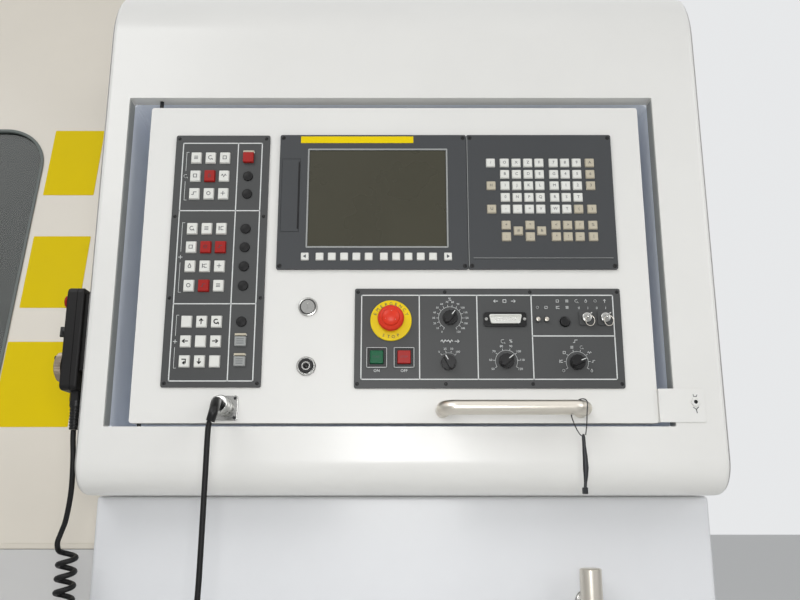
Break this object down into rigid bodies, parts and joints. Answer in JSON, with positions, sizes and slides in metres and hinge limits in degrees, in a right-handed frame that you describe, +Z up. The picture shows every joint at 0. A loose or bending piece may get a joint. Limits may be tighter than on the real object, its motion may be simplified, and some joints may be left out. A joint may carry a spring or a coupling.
{
  "type": "cnc turning lathe",
  "caption": "Enclosed slant-bed turning lathe with a swing-out operator panel in a rounded console, sliding door, chuck, tool turret, tailstock and a corded hand wheel.",
  "frame": {"origin": "floor level under the middle of the machine's outline", "axes": "+X along the spindle to the operator's right, +Z up, the operator stands at -Y"},
  "size_m": [3.9, 1.7655, 2.2],
  "materials": {
    "white_paint": "light textured enamel",
    "cool_paint": "light grey enamel",
    "warm_paint": "warm off-white enamel",
    "recess_paint": "blue-grey enamel",
    "dark_plastic": "dark grey faceplate",
    "black_plastic": "black",
    "red_plastic": "red",
    "green_plastic": "green",
    "yellow_plastic": "yellow",
    "satin_metal": "satin champagne anodised",
    "bright_metal": "plated",
    "machined_steel": "ground and turned",
    "cast_paint": "painted casting",
    "cord_rubber": "black",
    "screen_glass": "dark screen",
    "window_glass": "tinted pane"
  },
  "bodies": {
    "machine": {"console_housing": "white_paint", "recess_liner": "recess_paint", "pendant_body": "black_plastic", "pendant_bracket": "cool_paint", "cord_lead": "cord_rubber", "cord_coil": "cord_rubber", "cord_tail": "cord_rubber", "bed_casting": "cast_paint", "headstock": "cast_paint", "headstock_cover": "white_paint", "rear_cover": "white_paint", "front_apron": "warm_paint", "tower_cabinet": "cool_paint", "tower_handle": "satin_metal", "electrical_cabinet": "cool_paint"},
    "panel": {"control_panel": "white_paint", "panel_handle": "satin_metal", "key_tag": "black_plastic", "lock_tab": "white_paint", "display_unit": "dark_plastic", "display_glass": "screen_glass", "keyboard_unit": "dark_plastic", "switch_plate": "dark_plastic", "alarm_lamp": "red_plastic", "operator_plate": "dark_plastic", "estop_collar": "yellow_plastic", "serial_port": "bright_metal", "round_socket": "black_plastic", "cord_socket": "bright_metal", "cord_plug": "cord_rubber"},
    "door": {"front_door": "warm_paint", "door_window": "window_glass", "door_handle": "satin_metal"},
    "work_spindle": {"spindle": "machined_steel", "chuck": "machined_steel"},
    "saddle_body": {"saddle": "machined_steel"},
    "cross_slide_body": {"cross_slide": "cast_paint"},
    "turret": {"turret_disc": "machined_steel"},
    "tailstock_body": {"tailstock": "cast_paint"},
    "quill_body": {"quill": "machined_steel"},
    "tank": {"coolant_tank": "cool_paint"},
    "cabinet_door": {"electrical_door": "cool_paint"},
    "estop_button_body": {"estop_button": "red_plastic"},
    "start_button_body": {"start_button": "green_plastic"},
    "stop_button_body": {"stop_button": "red_plastic"},
    "check_button_body": {"check_button": "black_plastic"},
    "feed_knob_body": {"feed_knob": "black_plastic"},
    "rapid_knob_body": {"rapid_knob": "black_plastic"},
    "spindle_knob_body": {"spindle_knob": "black_plastic"},
    "mode_knob_body": {"mode_knob": "black_plastic"},
    "left_key_switch_body": {"left_key_switch": "bright_metal"},
    "right_key_switch_body": {"right_key_switch": "bright_metal"},
    "lock_cam_body": {"lock_cam": "bright_metal"},
    "panel_lock_body": {"panel_lock": "bright_metal"},
    "pendant_wheel_body": {"pendant_wheel": "black_plastic"},
    "pendant_selector_body": {"pendant_selector": "black_plastic"},
    "pendant_stop_body": {"pendant_stop": "red_plastic"},
    "chuck_jaw_1_body": {"chuck_jaw_1": "machined_steel"},
    "chuck_jaw_2_body": {"chuck_jaw_2": "machined_steel"},
    "chuck_jaw_3_body": {"chuck_jaw_3": "machined_steel"}
  },
  "joints": [
    {"name": "panel_swing", "type": "hinge", "parent": "machine", "child": "panel", "pos_m": [1.0855, -0.805, 1.195], "axis": [0, 0, -1], "range_deg": [0, 90]},
    {"name": "estop_push", "type": "slide", "parent": "panel", "child": "estop_button_body", "axis": [0, 1, 0], "range_m": [0, 0.006]},
    {"name": "start_button_push", "type": "slide", "parent": "panel", "child": "start_button_body", "axis": [0, 1, 0], "range_m": [0, 0.003], "stiffness_N_per_m": 400, "springref_m": -0.002},
    {"name": "stop_button_push", "type": "slide", "parent": "panel", "child": "stop_button_body", "axis": [0, 1, 0], "range_m": [0, 0.003], "stiffness_N_per_m": 400, "springref_m": -0.002},
    {"name": "check_button_push", "type": "slide", "parent": "panel", "child": "check_button_body", "axis": [0, 1, 0], "range_m": [0, 0.002], "stiffness_N_per_m": 400, "springref_m": -0.002},
    {"name": "feed_knob_turn", "type": "hinge", "parent": "panel", "child": "feed_knob_body", "pos_m": [1.545, -0.8203, 1.3515], "axis": [0, 1, 0], "range_deg": [-190, 110]},
    {"name": "rapid_knob_turn", "type": "hinge", "parent": "panel", "child": "rapid_knob_body", "pos_m": [1.542, -0.8203, 1.2835], "axis": [0, 1, 0], "range_deg": [-30, 90]},
    {"name": "spindle_knob_turn", "type": "hinge", "parent": "panel", "child": "spindle_knob_body", "pos_m": [1.6277, -0.8203, 1.286], "axis": [0, 1, 0], "range_deg": [-170, 70]},
    {"name": "mode_knob_turn", "type": "hinge", "parent": "panel", "child": "mode_knob_body", "pos_m": [1.7325, -0.8203, 1.284], "axis": [0, 1, 0], "range_deg": [-170, 30]},
    {"name": "left_key_switch_turn", "type": "hinge", "parent": "panel", "child": "left_key_switch_body", "pos_m": [1.7484, -0.8203, 1.3506], "axis": [0, 1, 0], "range_deg": [0, 90]},
    {"name": "right_key_switch_turn", "type": "hinge", "parent": "panel", "child": "right_key_switch_body", "pos_m": [1.7761, -0.8203, 1.3506], "axis": [0, 1, 0], "range_deg": [0, 90]},
    {"name": "lock_cam_turn", "type": "hinge", "parent": "panel", "child": "lock_cam_body", "pos_m": [1.9018, -0.8226, 1.2254], "axis": [0, 1, 0], "range_deg": [0, 90]},
    {"name": "panel_lock_turn", "type": "hinge", "parent": "panel", "child": "panel_lock_body", "pos_m": [1.3313, -0.817, 1.369], "axis": [0, 1, 0], "range_deg": [0, 90]},
    {"name": "pendant_wheel_spin", "type": "hinge", "parent": "machine", "child": "pendant_wheel_body", "pos_m": [0.966, -0.795, 1.281], "axis": [-1, 0, 0], "continuous": true},
    {"name": "pendant_selector_turn", "type": "hinge", "parent": "machine", "child": "pendant_selector_body", "pos_m": [0.966, -0.795, 1.335], "axis": [-1, 0, 0], "range_deg": [-60, 60]},
    {"name": "pendant_stop_push", "type": "slide", "parent": "machine", "child": "pendant_stop_body", "axis": [1, 0, 0], "range_m": [0, 0.003]},
    {"name": "door_slide", "type": "slide", "parent": "machine", "child": "door", "axis": [-1, 0, 0], "range_m": [0, 1.35]},
    {"name": "tank_slide", "type": "slide", "parent": "machine", "child": "tank", "axis": [0, -1, 0], "range_m": [0, 0.85]},
    {"name": "cabinet_door_swing", "type": "hinge", "parent": "machine", "child": "cabinet_door", "pos_m": [-1.454, 0.8566, 0.3], "axis": [0, 0, 1], "range_deg": [0, 110]},
    {"name": "spindle_spin", "type": "hinge", "parent": "machine", "child": "work_spindle", "pos_m": [-0.53, -0.08, 1.1], "axis": [1, 0, 0], "continuous": true},
    {"name": "jaw_1_slide", "type": "slide", "parent": "work_spindle", "child": "chuck_jaw_1_body", "axis": [0, 0, 1], "range_m": [-0.012, 0.012]},
    {"name": "jaw_2_slide", "type": "slide", "parent": "work_spindle", "child": "chuck_jaw_2_body", "axis": [0, -0.866, -0.5], "range_m": [-0.012, 0.012]},
    {"name": "jaw_3_slide", "type": "slide", "parent": "work_spindle", "child": "chuck_jaw_3_body", "axis": [0, 0.866, -0.5], "range_m": [-0.012, 0.012]},
    {"name": "saddle_travel", "type": "slide", "parent": "machine", "child": "saddle_body", "axis": [1, 0, 0], "range_m": [-0.22, 0.2]},
    {"name": "cross_travel", "type": "slide", "parent": "saddle_body", "child": "cross_slide_body", "axis": [0, 0.7071, 0.7071], "range_m": [-0.17, 0.05]},
    {"name": "turret_index", "type": "hinge", "parent": "cross_slide_body", "child": "turret", "pos_m": [0, 0.20284, 1.38284], "axis": [1, 0, 0], "continuous": true},
    {"name": "tailstock_travel", "type": "slide", "parent": "machine", "child": "tailstock_body", "axis": [1, 0, 0], "range_m": [-0.1, 0.04]},
    {"name": "quill_travel", "type": "slide", "parent": "tailstock_body", "child": "quill_body", "axis": [-1, 0, 0], "range_m": [0, 0.08]}
  ],
  "couplings": [
    {"joint": "jaw_2_slide", "follows": "jaw_1_slide", "ratio": 1},
    {"joint": "jaw_3_slide", "follows": "jaw_1_slide", "ratio": 1}
  ]
}
